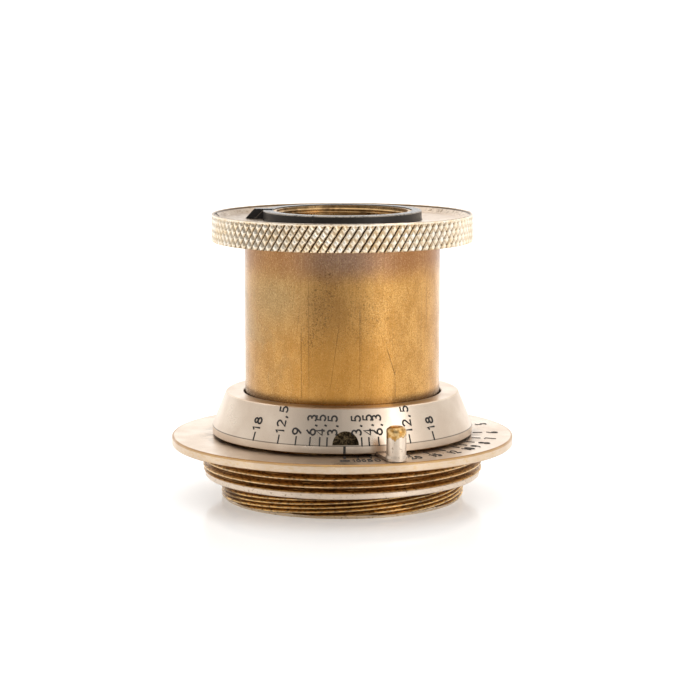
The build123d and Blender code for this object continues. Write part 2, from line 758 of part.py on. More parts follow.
def rear_keeper_ring():
    slot_floor = BASE_BOTTOM - REAR_KEEPER_SLOT
    slots = spanner_slots(REAR_LIP_R - EDGE_BREAK, REAR_CELL_R, slot_floor, BASE_BOTTOM, SCREW_SHANK_R)
    return ring(REAR_GLASS_R, REAR_LIP_R, REAR_KEEPER_BOTTOM, BASE_BOTTOM) - slots


PIECES = [
    mount_thread_collar,
    distance_flange,
    flange_screws,
    focus_stop_screw,
    grease_seal_ring,
    focus_sleeve,
    depth_scale_ring,
    scale_ring_screws,
    catch_bracket,
    catch_bracket_screws,
    catch_spring_plate,
    focusing_knob,
    brake_ring,
    brake_felt,
    lens_tube,
    locking_lugs,
    lug_screws,
    seat_ring,
    locating_screws,
    barrel_shim,
    barrel_clamp_ring,
    knurled_front_ring,
    lens_barrel,
    iris_base_plate,
    iris_lock_ring,
    front_cell,
    front_element,
    front_keeper_ring,
    rear_cell,
    negative_element,
    element_spacer,
    doublet_front_element,
    doublet_rear_element,
    rear_keeper_ring,
    aperture_ring,
    link_screws,
    iris_cam_ring,
]


def main():
    os.makedirs("parts", exist_ok=True)
    for piece in PIECES:
        export_step(piece(), f"parts/{piece.__name__}.step")
    for number in range(BLADE_COUNT):
        export_step(iris_blade(number), f"parts/iris_blade_{number + 1:02d}.step")
    print("focus travel", FOCUS_LEAD * FOCUS_TURN / 360, "blade turn", BLADE_TURN)


main()
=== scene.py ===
import math

import bpy
import numpy as np
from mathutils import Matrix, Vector


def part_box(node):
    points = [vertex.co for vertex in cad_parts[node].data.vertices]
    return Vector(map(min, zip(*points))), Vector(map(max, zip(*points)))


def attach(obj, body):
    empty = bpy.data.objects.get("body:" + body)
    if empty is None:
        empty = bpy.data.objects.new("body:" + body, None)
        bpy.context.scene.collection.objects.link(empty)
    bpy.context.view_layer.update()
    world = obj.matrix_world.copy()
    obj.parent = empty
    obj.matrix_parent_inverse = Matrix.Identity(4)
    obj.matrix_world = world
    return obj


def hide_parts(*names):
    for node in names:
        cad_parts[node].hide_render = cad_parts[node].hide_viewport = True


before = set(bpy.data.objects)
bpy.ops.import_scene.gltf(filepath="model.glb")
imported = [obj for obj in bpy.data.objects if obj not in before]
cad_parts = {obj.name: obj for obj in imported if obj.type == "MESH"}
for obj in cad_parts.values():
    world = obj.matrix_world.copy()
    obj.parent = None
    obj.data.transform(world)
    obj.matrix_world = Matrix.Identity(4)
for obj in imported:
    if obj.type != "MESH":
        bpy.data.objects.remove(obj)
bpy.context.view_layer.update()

MM = 0.001
TAU = 2 * math.pi


# ---- Places, read from the frame (millimetres)

def low(node):
    """The lowest corner of a CAD node's box."""
    return Vector(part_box(node)[0]) / MM


def high(node):
    """The highest corner of a CAD node's box."""
    return Vector(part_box(node)[1]) / MM


def radius_of(node):
    return (high(node).x - low(node).x) / 2


FLANGE_R = radius_of("distance_flange")
FLANGE_BOTTOM = low("distance_flange").z
FLANGE_TOP = high("distance_flange").z
THREAD_R = radius_of("mount_thread_collar")
COLLAR_BOTTOM = low("mount_thread_collar").z
SLEEVE_R = radius_of("focus_sleeve")
SLEEVE_TOP = high("focus_sleeve").z
BAND_R = radius_of("depth_scale_ring")
BAND_BOTTOM = low("depth_scale_ring").z
CONE_TOP = high("depth_scale_ring").z
TUBE_R = radius_of("lens_tube")
FRONT_R = radius_of("knurled_front_ring")
FRONT_BOTTOM = low("knurled_front_ring").z
FRONT_TOP = high("knurled_front_ring").z
TUBE_TOP = high("lens_tube").z
BARREL_TOP = high("lens_barrel").z
CELL_TOP = high("front_cell").z
TAB_RISE = 0.13
RING_TOP = high("aperture_ring").z - TAB_RISE
RING_R = 10.98
KNOB_TOP = high("focusing_knob").z

BAND_HEIGHT = 1.07
CONE_BOTTOM = BAND_BOTTOM + BAND_HEIGHT
CONE_TOP_R = 16.16
CONE_SLOPE = (BAND_R - CONE_TOP_R) / (CONE_TOP - CONE_BOTTOM)
SCALE_BORE_R = 15.9
RECESS_TOP = 12.15

DISH_FLOOR = FRONT_TOP - 0.84
DISH_R = 17.0
DISH_RIM_R = 17.8
DISH_SLOPE = (FRONT_TOP - DISH_FLOOR) / (DISH_RIM_R - DISH_R)

SLEEVE_BORE_R = 14.25
COLLAR_BAND_TOP = COLLAR_BOTTOM + 0.8
MOUNT_PITCH = 25.4 / 26
FOCUS_LEAD = 5.65
FOCUS_STARTS = 10
FOCAL_LENGTH = 50
MM_PER_FOOT = 304.8

INDEX = 0.9
APERTURES = (3.5, 4.5, 6.3, 9, 12.5, 18)
WIDEST = APERTURES[0]
DISTANCES = (100, 50, 30, 20, 15, 12, 10, 9, 8, 7, 6, 5, 4, 3.5)
TAB_BEARING = -95
APERTURE_TURN = 72


def at(radius, bearing, height):
    """A point in metres. Bearings run from -Y, the index side, towards +X."""
    turn = math.radians(bearing)
    return (radius * math.sin(turn) * MM, -radius * math.cos(turn) * MM, height * MM)


def cone_r(height):
    """Radius of the depth scale's cone."""
    return BAND_R - CONE_SLOPE * (height - CONE_BOTTOM)


# ---- Node materials

class Shade:
    """A node material in the object's own coordinates, in millimetres."""

    def __init__(self, name):
        self.material = bpy.data.materials.new(name)
        self.material.use_nodes = True
        self.tree = self.material.node_tree
        self.shader = self.tree.nodes["Principled BSDF"]
        coordinates = self.tree.nodes.new("ShaderNodeTexCoord")
        self.place = self.vector("SCALE", coordinates.outputs["Object"], scale=1 / MM)
        split = self.tree.nodes.new("ShaderNodeSeparateXYZ")
        self.put(split.inputs[0], self.place)
        self.x, self.y, self.z = split.outputs
        self.r = self.math("SQRT", self.plus(self.times(self.x, self.x), self.times(self.y, self.y)))
        self.turn = self.math("ARCTAN2", self.x, self.times(self.y, -1.0))

    def put(self, socket, value):
        """Links a socket to an input, or sets the input to a plain value."""
        if isinstance(value, bpy.types.NodeSocket):
            self.tree.links.new(value, socket)
        elif isinstance(value, tuple) and len(value) == 3 and socket.type == "RGBA":
            socket.default_value = (*value, 1.0)
        else:
            socket.default_value = value

    def vector(self, operation, *values, scale=None):
        node = self.tree.nodes.new("ShaderNodeVectorMath")
        node.operation = operation
        for socket, value in zip(node.inputs, values):
            self.put(socket, value)
        if scale is not None:
            node.inputs["Scale"].default_value = scale
        return node.outputs[0]

    def math(self, operation, *values):
        node = self.tree.nodes.new("ShaderNodeMath")
        node.operation = operation
        for socket, value in zip(node.inputs, values):
            self.put(socket, value)
        return node.outputs[0]

    def span(self, value, start, end, low_value=0.0, high_value=1.0):
        """Smooth step from low_value at start to high_value at end."""
        node = self.tree.nodes.new("ShaderNodeMapRange")
        node.interpolation_type = "SMOOTHSTEP"
        for socket, number in zip(node.inputs, (value, start, end, low_value, high_value)):
            self.put(socket, number)
        return node.outputs[0]

    def near(self, value, centre, width):
        """1 at centre, falling to 0 at a distance of width."""
        gap = self.math("ABSOLUTE", self.minus(value, centre))
        return self.span(gap, 0.0, width, 1.0, 0.0)

    def noise(self, scale, stretch=(1.0, 1.0, 1.0), detail=4.0, rough=0.5, vector=None, warp=0.0):
        node = self.tree.nodes.new("ShaderNodeTexNoise")
        self.put(node.inputs["Vector"], self.vector("MULTIPLY", vector or self.place, stretch))
        node.inputs["Scale"].default_value = scale
        node.inputs["Detail"].default_value = detail
        node.inputs["Roughness"].default_value = rough
        node.inputs["Distortion"].default_value = warp
        return node.outputs[0]

    def round_place(self, r_scale):
        """(arc length, height, radius): coordinates for marks that follow a turned surface."""
        node = self.tree.nodes.new("ShaderNodeCombineXYZ")
        self.put(node.inputs[0], self.times(self.turn, r_scale))
        self.put(node.inputs[1], self.z)
        self.put(node.inputs[2], self.r)
        return node.outputs[0]

    def combine(self, x, y):
        """A vector of two values."""
        node = self.tree.nodes.new("ShaderNodeCombineXYZ")
        self.put(node.inputs[0], x)
        self.put(node.inputs[1], y)
        return node.outputs[0]

    def blend(self, share, first, second):
        """The first colour, replaced by the second one to the given share."""
        node = self.tree.nodes.new("ShaderNodeMix")
        node.data_type = "RGBA"
        self.put(node.inputs[0], share)
        self.put(node.inputs[6], first)
        self.put(node.inputs[7], second)
        return node.outputs[2]

    def plus(self, first, second):
        return self.math("ADD", first, second)

    def minus(self, first, second):
        return self.math("SUBTRACT", first, second)

    def most(self, *values):
        result = values[0]
        for value in values[1:]:
            result = self.math("MAXIMUM", result, value)
        return result

    def times(self, *values):
        result = values[0]
        for value in values[1:]:
            result = self.math("MULTIPLY", result, value)
        return result

    def bump(self, height, distance, strength=1.0, after=None):
        """A bumped normal. distance is in millimetres, and after is the normal that it adds to."""
        node = self.tree.nodes.new("ShaderNodeBump")
        node.inputs["Strength"].default_value = strength
        node.inputs["Distance"].default_value = distance * MM
        self.put(node.inputs["Height"], height)
        if after is not None:
            self.put(node.inputs["Normal"], after)
        return node.outputs[0]

    def done(self, colour, rough, metal=1.0, normal=None, **others):
        """Connects the shader. The others are its sockets' names, with _ for a space."""
        self.put(self.shader.inputs["Base Color"], colour)
        self.put(self.shader.inputs["Roughness"], rough)
        self.put(self.shader.inputs["Metallic"], metal)
        if normal is not None:
            self.put(self.shader.inputs["Normal"], normal)
        for name, value in others.items():
            self.put(self.shader.inputs[name.replace("_", " ")], value)
        return self.material


NICKEL = (0.76, 0.64, 0.52)
NICKEL_DULL = (0.68, 0.555, 0.44)
BRASS = (0.62, 0.40, 0.15)
BRASS_DARK = (0.20, 0.115, 0.04)
GRIME = (0.035, 0.022, 0.012)


def nickel_base(shade):
    """Satin nickel: cloudy colour, fine frosting and a few pits."""
    cloud = shade.noise(0.22, detail=3.0, rough=0.5)
    frost = shade.noise(14.0, detail=2.0)
    pits = shade.span(shade.noise(3.2, detail=6.0, rough=0.7), 0.66, 0.72)
    colour = shade.blend(shade.span(cloud, 0.3, 0.7), NICKEL, NICKEL_DULL)
    colour = shade.blend(shade.times(shade.span(frost, 0.5, 0.7), 0.25), colour, (0.42, 0.33, 0.25))
    colour = shade.blend(shade.times(pits, 0.6), colour, BRASS_DARK)
    rough = shade.span(cloud, 0.3, 0.7, 0.27, 0.40)
    normal = shade.bump(shade.minus(frost, pits), 0.006, 0.35)
    return colour, rough, normal


def turning_marks(shade, scale):
    """Noise in circles about the axis, as a lathe leaves it."""
    return shade.noise(1.0, (0.0, 0.0, scale), 4.0, 0.7, shade.round_place(1.0))


def flange_material():
    """Nickel worn to brass along both edges of the rim, and dirty around the depth scale ring."""
    shade = Shade("nickel_flange")
    colour, rough, normal = nickel_base(shade)
    ragged = shade.times(shade.minus(shade.noise(1.1, detail=5.0), 0.5), 0.5)
    across_corner = shade.plus(shade.minus(shade.r, shade.z), shade.times(ragged, 0.3))
    top_edge = shade.near(across_corner, FLANGE_R - FLANGE_TOP - 0.1, 0.36)
    outer = shade.span(shade.r, FLANGE_R - 0.35, FLANGE_R - 0.12)
    low_edge = shade.near(shade.plus(shade.z, shade.times(ragged, 0.5)), FLANGE_BOTTOM, 0.16)
    ragged_height = shade.plus(shade.z, shade.times(ragged, 0.2))
    corner_top = shade.span(ragged_height, FLANGE_TOP - 0.34, FLANGE_TOP - 0.26)
    corner = shade.times(corner_top, shade.span(shade.r, FLANGE_R - 0.3, FLANGE_R - 0.24))
    worn = shade.most(shade.times(top_edge, outer), shade.times(low_edge, outer), corner)
    colour = shade.blend(worn, colour, (0.40, 0.20, 0.05))
    side = shade.span(shade.r, FLANGE_R - 0.06, FLANGE_R - 0.03)
    colour = shade.blend(shade.times(side, 0.35), colour, (0.62, 0.44, 0.26))
    rubbed = shade.span(shade.noise(1.2, (1.0, 1.0, 3.0), detail=6.0, rough=0.7), 0.46, 0.64)
    turned = turning_marks(shade, 9.0)
    colour = shade.blend(shade.times(shade.span(turned, 0.42, 0.62), 0.35), colour, (0.52, 0.41, 0.31))
    near_ring = shade.span(shade.r, BAND_R + 2.27, BAND_R + 0.07)
    soil = shade.times(near_ring, shade.span(shade.noise(0.5, detail=6.0, rough=0.7), 0.36, 0.60), 0.55)
    colour = shade.blend(soil, colour, (0.20, 0.15, 0.11))
    colour = shade.blend(shade.times(rubbed, side, 0.4), colour, BRASS)
    rings = shade.noise(1.0, (0.0, 0.0, 60.0), 2.0, vector=shade.round_place(1.0))
    normal = shade.bump(rings, 0.002, 0.25, normal)
    return shade.done(colour, rough, normal=normal)


def scale_ring_material():
    """Nickel with a dirty line under the cone, brass at its edges and a notch of pitted worn brass, painted
    dark as shade.
    """
    shade = Shade("nickel_depth_scale")
    colour, rough, normal = nickel_base(shade)
    line = shade.near(shade.z, CONE_BOTTOM + 0.03, 0.11)
    rim = shade.near(shade.z, CONE_TOP - 0.02, 0.09)
    cone_here = shade.minus(BAND_R + CONE_SLOPE * CONE_BOTTOM, shade.times(shade.z, CONE_SLOPE))
    below_skin = shade.span(shade.minus(cone_here, shade.r), 0.05, 0.12)
    outside = shade.span(shade.r, SCALE_BORE_R + 0.1, SCALE_BORE_R + 0.2)
    above_band = shade.span(shade.z, CONE_BOTTOM + 0.05, CONE_BOTTOM + 0.1)
    below_top = shade.span(shade.z, RECESS_TOP + 0.05, RECESS_TOP - 0.05)
    recess = shade.times(below_skin, above_band, below_top)
    colour = shade.blend(shade.times(line, 0.8), colour, GRIME)
    colour = shade.blend(shade.times(rim, 0.3, outside), colour, BRASS)
    speck = shade.noise(2.6, detail=6.0, rough=0.75)
    # Inside the notch: pitted worn brass, painted nearly black as the shade that falls in the notch.
    worn_brass_and_painted_shade = shade.blend(shade.span(speck, 0.42, 0.62), (0.045, 0.030, 0.016), (0.36, 0.27, 0.15))
    colour = shade.blend(recess, colour, worn_brass_and_painted_shade)
    edge = shade.times(shade.near(shade.z, BAND_BOTTOM + 0.05, 0.12), 0.5)
    colour = shade.blend(edge, colour, BRASS)
    normal = shade.bump(shade.times(shade.minus(speck, 0.5), recess), 0.25, 1.0, normal)
    rough = shade.plus(rough, shade.times(recess, 0.2))
    return shade.done(colour, rough, normal=normal)


def knob_material():
    """Nickel whose top a finger has worn to brass, with a ragged edge between the two."""
    shade = Shade("nickel_knob")
    colour, rough, normal = nickel_base(shade)
    ragged = shade.times(shade.minus(shade.noise(1.2, detail=6.0, rough=0.6), 0.5), 2.4)
    worn = shade.span(shade.plus(shade.z, ragged), KNOB_TOP - 1.55, KNOB_TOP - 1.3)
    patchy = shade.span(shade.noise(1.6, detail=3.0), 0.4, 0.6)
    tone = shade.blend(patchy, (0.50, 0.26, 0.07), (0.74, 0.50, 0.22))
    colour = shade.blend(worn, colour, tone)
    dark_line = shade.times(shade.near(worn, 0.5, 0.45), 0.6)
    colour = shade.blend(dark_line, colour, BRASS_DARK)
    pits = shade.span(shade.noise(2.2, (1.0, 1.0, 0.5), 5.0, 0.7), 0.60, 0.64)
    colour = shade.blend(shade.times(pits, 0.6), colour, (0.16, 0.085, 0.03))
    return shade.done(colour, rough, normal=normal)


def knurl_material():
    """Knurl crests painted pale as highlight over flanks and grooves painted dark as shade, and a stained,
    turned dish inside the rim, with painted shade towards the left.
    """
    shade = Shade("knurl_nickel_brass")
    depth = shade.minus(FRONT_R, shade.r)
    above = shade.span(shade.z, FRONT_BOTTOM - 0.02, FRONT_BOTTOM + 0.05)
    below = shade.span(shade.z, FRONT_TOP - 0.02, FRONT_TOP - 0.1)
    side = shade.times(shade.span(shade.r, FRONT_R - 0.5, FRONT_R - 0.45), above, below)
    base, rough, normal = nickel_base(shade)
    warm = shade.noise(0.6, detail=5.0, rough=0.6)
    # Painted light on the knurl: crests near white as painted highlight, flanks darker as painted shade.
    crest_highlight = shade.blend(shade.span(warm, 0.35, 0.7), (0.97, 0.91, 0.80), (0.90, 0.74, 0.52))
    flank = shade.span(depth, 0.02, 0.16)
    sided = shade.blend(shade.times(flank, 0.42), crest_highlight, (0.60, 0.42, 0.22))
    nicks = shade.span(shade.noise(4.5, detail=4.0, rough=0.8), 0.52, 0.59)
    sided = shade.blend(shade.times(nicks, 0.42), sided, (0.36, 0.24, 0.13))
    # Painted shade: the grooves near black.
    groove = shade.span(depth, 0.18, 0.34)
    sided = shade.blend(groove, sided, (0.075, 0.04, 0.018))
    rim = shade.most(shade.near(shade.z, FRONT_TOP, 0.14), shade.near(shade.z, FRONT_BOTTOM, 0.16))
    sided = shade.blend(shade.times(rim, 0.7), sided, (0.74, 0.52, 0.25))
    colour = shade.blend(side, base, sided)
    inner = shade.minus(1.0, side)
    turned = shade.span(turning_marks(shade, 8.0), 0.40, 0.62)
    colour = shade.blend(shade.times(turned, inner, 0.45), colour, (0.46, 0.36, 0.27))
    # Painted shade: the dish darkened towards the left side.
    dish_left_painted_shade = shade.times(inner, shade.span(shade.x, 4.0, -15.0), 0.55)
    colour = shade.blend(dish_left_painted_shade, colour, (0.30, 0.235, 0.175))
    stain = shade.span(shade.noise(0.8, detail=6.0, rough=0.75), 0.54, 0.66)
    colour = shade.blend(shade.times(stain, inner, 0.35), colour, (0.30, 0.20, 0.12))
    bevel = shade.times(inner, shade.span(shade.r, DISH_R - 0.05, DISH_R + 0.15))
    chipped = shade.span(shade.noise(1.5, detail=6.0, rough=0.75), 0.50, 0.60)
    colour = shade.blend(shade.times(bevel, chipped, 0.7), colour, (0.20, 0.12, 0.06))
    return shade.done(colour, rough, normal=normal)


# Scratches on the tube: bearing and lean of each, and the heights where it starts and ends
TUBE_SCRATCHES = ((-24, 0.0, 15.5, 26), (10, 0.0, 17, 28.5), (-7, 0.14, 17, 26), (32, -0.35, 18.5, 23))
SPECK_TRAIL = (21.0, 33.0)
PLATING_EDGE = (30.3, 34.2)
OLIVE_HEIGHT = 29.0
TUBE_FOOT = CONE_TOP + 0.07


def tube_scratches(shade):
    """Fine upright and leaning scratches at random, and a few long ones at set places."""
    round_place = shade.round_place(TUBE_R)
    scratch = shade.span(shade.noise(1.0, (9.0, 0.03, 1.0), 1.0, 0.5, round_place), 0.715, 0.735)
    leaning = shade.plus(shade.times(shade.turn, TUBE_R), shade.times(shade.z, -0.13))
    leaning = shade.noise(1.0, (7.0, 0.09, 1.0), 1.0, 0.5, shade.combine(leaning, shade.z))
    for bearing, lean, start, end in TUBE_SCRATCHES:
        along = shade.times(shade.minus(shade.turn, math.radians(bearing)), TUBE_R)
        offset = shade.minus(along, shade.times(shade.minus(shade.z, start), lean))
        begun = shade.span(shade.z, start, start + 0.4)
        fading = shade.span(shade.z, end, end - 1.5)
        mark = shade.times(shade.near(offset, 0.0, 0.09), begun, fading)
        scratch = shade.most(scratch, shade.times(mark, 1.3))
    return shade.most(scratch, shade.span(leaning, 0.75, 0.765))


def tube_plating(shade, mottle, colour):
    """Painted shade and what is left of the plating: olive cloudy patches at the left as painted shade, an
    olive patch at the front left, and a grey pink band below the front ring.
    """
    cloud = shade.noise(0.11, detail=5.0, rough=0.6, warp=0.6)
    # Painted shade: olive cloudy patches darkening the left side.
    left = shade.times(shade.span(shade.x, 7.0, -13.5), shade.span(cloud, 0.42, 0.66), 0.5)
    patch_round = shade.near(shade.turn, -0.78, 0.75)
    patch = shade.times(patch_round, shade.near(shade.z, OLIVE_HEIGHT, 7.5), 0.75)
    colour = shade.blend(shade.most(left, patch), colour, (0.35, 0.265, 0.135))
    height = shade.plus(shade.z, shade.times(shade.minus(mottle, 0.5), 1.6))
    pink = shade.span(height, *PLATING_EDGE)
    colour = shade.blend(shade.times(pink, 0.92), colour, (0.32, 0.14, 0.058))
    purple = shade.times(pink, shade.near(shade.turn, 0.0, 0.75), 0.9)
    return pink, shade.blend(purple, colour, (0.30, 0.19, 0.145))


def tube_specks(shade, colour):
    """Dark specks, thickest along a trail that runs down the front of the tube."""
    specks = shade.span(shade.noise(4.0, detail=4.0, rough=0.8), 0.55, 0.59)
    trail = shade.minus(shade.turn, shade.span(shade.z, *SPECK_TRAIL, -0.34, -0.15))
    dense = shade.times(shade.near(trail, 0.0, 0.2), shade.near(shade.z, 27.5, 9.0), 2.2)
    sparse = shade.times(shade.near(shade.turn, 0.2, 0.6), shade.near(shade.z, 26, 8.0), 0.5)
    share = shade.plus(shade.most(dense, sparse), 0.12)
    return shade.blend(shade.times(specks, share), colour, (0.05, 0.03, 0.015))


def tube_material():
    """Brass whose plating has worn off: golden, with upright brushing, specks and scratches, a painted
    shadow at its foot, a painted dark reflection down its front and painted shade at its left.
    """
    shade = Shade("worn_brass_tube")
    brushing = shade.noise(1.0, (9.0, 9.0, 0.12), 6.0, 0.7)
    streaks = shade.noise(1.0, (2.2, 2.2, 0.05), 4.0, 0.6)
    mottle = shade.noise(0.5, (1.0, 1.0, 0.6), 6.0, 0.65)
    gold = shade.blend(shade.span(mottle, 0.3, 0.7), (0.62, 0.335, 0.100), (0.49, 0.245, 0.062))
    pink, colour = tube_plating(shade, mottle, gold)
    colour = shade.blend(shade.times(shade.span(brushing, 0.45, 0.68), 0.12), colour, (0.85, 0.58, 0.27))
    colour = shade.blend(shade.times(shade.span(streaks, 0.55, 0.72), 0.16), colour, (0.30, 0.17, 0.06))
    colour = tube_specks(shade, colour)
    shaded_side = shade.times(shade.near(shade.turn, -0.95, 0.85), 0.38)
    colour = shade.blend(shaded_side, colour, (0.30, 0.165, 0.065))
    scratch = tube_scratches(shade)
    colour = shade.blend(shade.times(scratch, 0.8), colour, (0.07, 0.04, 0.02))
    # Painted shadow: the tube darkened towards its foot, where it goes into the cone's bore.
    foot = shade.span(shade.z, TUBE_FOOT + 1.2, TUBE_FOOT)
    colour = shade.blend(shade.times(foot, 0.85), colour, (0.10, 0.06, 0.03))
    grain = shade.noise(1.0, (7.0, 7.0, 5.0), 3.0, 0.8)
    colour = shade.blend(shade.times(shade.span(grain, 0.52, 0.60), 0.48), colour, (0.24, 0.12, 0.036))
    colour = shade.blend(shade.times(shade.span(grain, 0.46, 0.38), 0.26), colour, (0.95, 0.66, 0.33))
    warm = shade.times(shade.near(shade.turn, -0.05, 0.9), shade.span(shade.z, 29.0, 20.0), 0.6)
    colour = shade.blend(warm, colour, (0.52, 0.235, 0.042))
    # Painted dark reflection: the front of the tube, facing the dark side of the room, darkened.
    front_painted_reflection = shade.times(shade.near(shade.turn, -0.14, 0.55), shade.near(shade.z, 28.5, 9.0), 0.55)
    colour = shade.blend(front_painted_reflection, colour, (0.27, 0.135, 0.045))
    rough = shade.plus(shade.span(mottle, 0.3, 0.7, 0.20, 0.32), shade.times(pink, 0.05))
    normal = shade.bump(shade.plus(brushing, grain), 0.006, 0.30)
    normal = shade.bump(scratch, -0.01, 0.6, normal)
    return shade.done(colour, rough, normal=normal)


def thread_material(name, crest_r, depth, crest_highlight_tone, middle_colour, root_shade_tone):
    """Oiled brass: crests bright as painted highlight, flanks and roots darker as painted shade, and grime
    in patches.
    """
    shade = Shade(name)
    grain = shade.noise(1.6, (1.0, 1.0, 3.0), 6.0, 0.65)
    below = shade.minus(crest_r, shade.r)
    # Colour by depth below the crest: painted highlight on the crests, painted shade towards the roots.
    colour = shade.blend(shade.span(below, 0.0, 0.3 * depth), crest_highlight_tone, middle_colour)
    colour = shade.blend(shade.span(below, 0.3 * depth, depth), colour, root_shade_tone)
    grime = shade.times(shade.span(grain, 0.46, 0.62), 0.7)
    colour = shade.blend(grime, colour, GRIME)
    plated = shade.times(shade.near(shade.r, crest_r, 0.05), shade.span(grain, 0.42, 0.55))
    colour = shade.blend(shade.times(plated, 0.3), colour, NICKEL)
    normal = shade.bump(grain, 0.02, 0.5)
    return shade, colour, shade.span(grain, 0.3, 0.7, 0.28, 0.45), normal


def collar_material():
    """The mount's thread in oiled brass, above a plated band."""
    # Crest, flank and root colours: painted highlight on the crests, painted shade in the roots.
    tones = (0.84, 0.60, 0.31), (0.56, 0.34, 0.13), (0.30, 0.155, 0.048)
    shade, colour, rough, normal = thread_material("oiled_brass_collar", THREAD_R, 0.34, *tones)
    band = shade.span(shade.z, COLLAR_BAND_TOP + 0.05, COLLAR_BAND_TOP - 0.02)
    outer = shade.span(shade.r, THREAD_R - 1.3, THREAD_R - 1.2)
    patchy = shade.span(shade.noise(2.6, detail=6.0, rough=0.7), 0.57, 0.68)
    worn = shade.blend(patchy, NICKEL, BRASS_DARK)
    colour = shade.blend(shade.times(band, outer, 0.85), colour, worn)
    return shade.done(colour, rough, normal=normal)


def sleeve_material():
    """The focusing screw in oiled brass, with a black bore and a turned rear face."""
    # Crest, flank and root colours: painted highlight on the crests, painted shade in the roots.
    tones = (0.95, 0.63, 0.24), (0.74, 0.43, 0.13), (0.22, 0.105, 0.028)
    shade, colour, rough, normal = thread_material("oiled_brass_sleeve", SLEEVE_R, 0.24, *tones)
    strand = shade.noise(1.0, (0.1, 0.1, 2.2), 3.0, 0.6)
    outside = shade.span(shade.r, SLEEVE_R - 0.5, SLEEVE_R - 0.4)
    dirt = shade.times(shade.span(strand, 0.48, 0.60), outside, 0.75)
    colour = shade.blend(dirt, colour, (0.13, 0.065, 0.022))
    inside = shade.span(shade.r, SLEEVE_BORE_R + 0.15, SLEEVE_BORE_R + 0.05)
    colour = shade.blend(shade.times(inside, 0.85), colour, (0.02, 0.018, 0.016))
    end = shade.span(shade.z, 0.50, 0.44)
    turned = shade.span(turning_marks(shade, 9.0), 0.40, 0.62)
    worn = shade.blend(shade.times(turned, 0.7), NICKEL, (0.56, 0.42, 0.24))
    specks = shade.span(shade.noise(2.4, detail=6.0, rough=0.75), 0.55, 0.62)
    worn = shade.blend(shade.times(specks, 0.6), worn, GRIME)
    colour = shade.blend(shade.times(end, 0.9), colour, worn)
    return shade.done(colour, rough, normal=normal)


def plain_brass_material():
    """Turned brass, with tarnish in patches."""
    shade = Shade("machined_brass")
    rings = shade.noise(1.0, (0.0, 26.0, 26.0), 3.0, vector=shade.round_place(1.0))
    tarnish = shade.noise(0.7, detail=6.0, rough=0.6)
    colour = shade.blend(shade.span(tarnish, 0.4, 0.7), (0.58, 0.38, 0.18), (0.22, 0.13, 0.06))
    rough = shade.span(tarnish, 0.3, 0.7, 0.25, 0.42)
    return shade.done(colour, rough, normal=shade.bump(rings, 0.003, 0.4))


def lacquer_material():
    """Black lacquer, rubbed to bare metal on the front face and along the edges."""
    shade = Shade("black_lacquer")
    grain = shade.noise(2.5, detail=6.0, rough=0.65)
    dust = shade.span(shade.noise(7.0, detail=3.0), 0.70, 0.76)
    colour = shade.blend(grain, (0.010, 0.010, 0.011), (0.026, 0.024, 0.023))
    face = shade.span(shade.z, RING_TOP - 0.05, RING_TOP - 0.02)
    rubbed = shade.times(face, shade.span(grain, 0.50, 0.66), 0.55)
    corner = shade.near(shade.plus(shade.r, shade.z), RING_R + RING_TOP - 0.12, 0.10)
    bare = shade.most(rubbed, shade.times(corner, shade.span(grain, 0.35, 0.55)))
    metal = shade.blend(shade.span(grain, 0.4, 0.6), (0.50, 0.45, 0.39), (0.30, 0.26, 0.22))
    colour = shade.blend(bare, colour, metal)
    colour = shade.blend(shade.times(dust, 0.35), colour, (0.4, 0.37, 0.33))
    rough = shade.minus(shade.span(grain, 0.3, 0.7, 0.30, 0.48), shade.times(face, 0.14))
    return shade.done(colour, rough, bare, shade.bump(grain, 0.01, 0.4), Specular_IOR_Level=0.42)


def steel_material(name, colour, dark, rough):
    """Brushed steel between two tones."""
    shade = Shade(name)
    grain = shade.noise(3.0, detail=5.0, rough=0.6)
    tone = shade.blend(shade.span(grain, 0.35, 0.65), colour, dark)
    uneven = shade.span(grain, 0.3, 0.7, rough, rough + 0.15)
    return shade.done(tone, uneven, normal=shade.bump(grain, 0.004, 0.4))


def felt_material():
    """Matt black fibres."""
    shade = Shade("black_felt")
    fibres = shade.noise(9.0, detail=8.0, rough=0.8)
    colour = shade.blend(fibres, (0.012, 0.011, 0.010), (0.06, 0.055, 0.05))
    return shade.done(colour, 0.95, 0.0, shade.bump(fibres, 0.08, 0.8))


def glass_material():
    """Clear glass with a faint smear."""
    shade = Shade("optical_glass")
    smear = shade.noise(0.4, detail=6.0, rough=0.6)
    rough = shade.span(smear, 0.45, 0.75, 0.0, 0.03)
    return shade.done((0.97, 0.985, 0.98), rough, 0.0, Transmission_Weight=1.0, IOR=1.55)


def ink_material():
    """The black wax in the engraved lines."""
    shade = Shade("engraving_fill")
    grain = shade.noise(6.0, detail=4.0)
    colour = shade.blend(grain, (0.010, 0.009, 0.008), (0.035, 0.030, 0.026))
    return shade.done(colour, 0.55, 0.0, shade.bump(grain, 0.01, 0.5))


# ---- Mesh and curve builders

SHARP_ANGLE = 38


def finish_piece(piece, material, body):
    bpy.context.collection.objects.link(piece)
    piece.data.materials.append(material)
    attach(piece, body)
    return piece


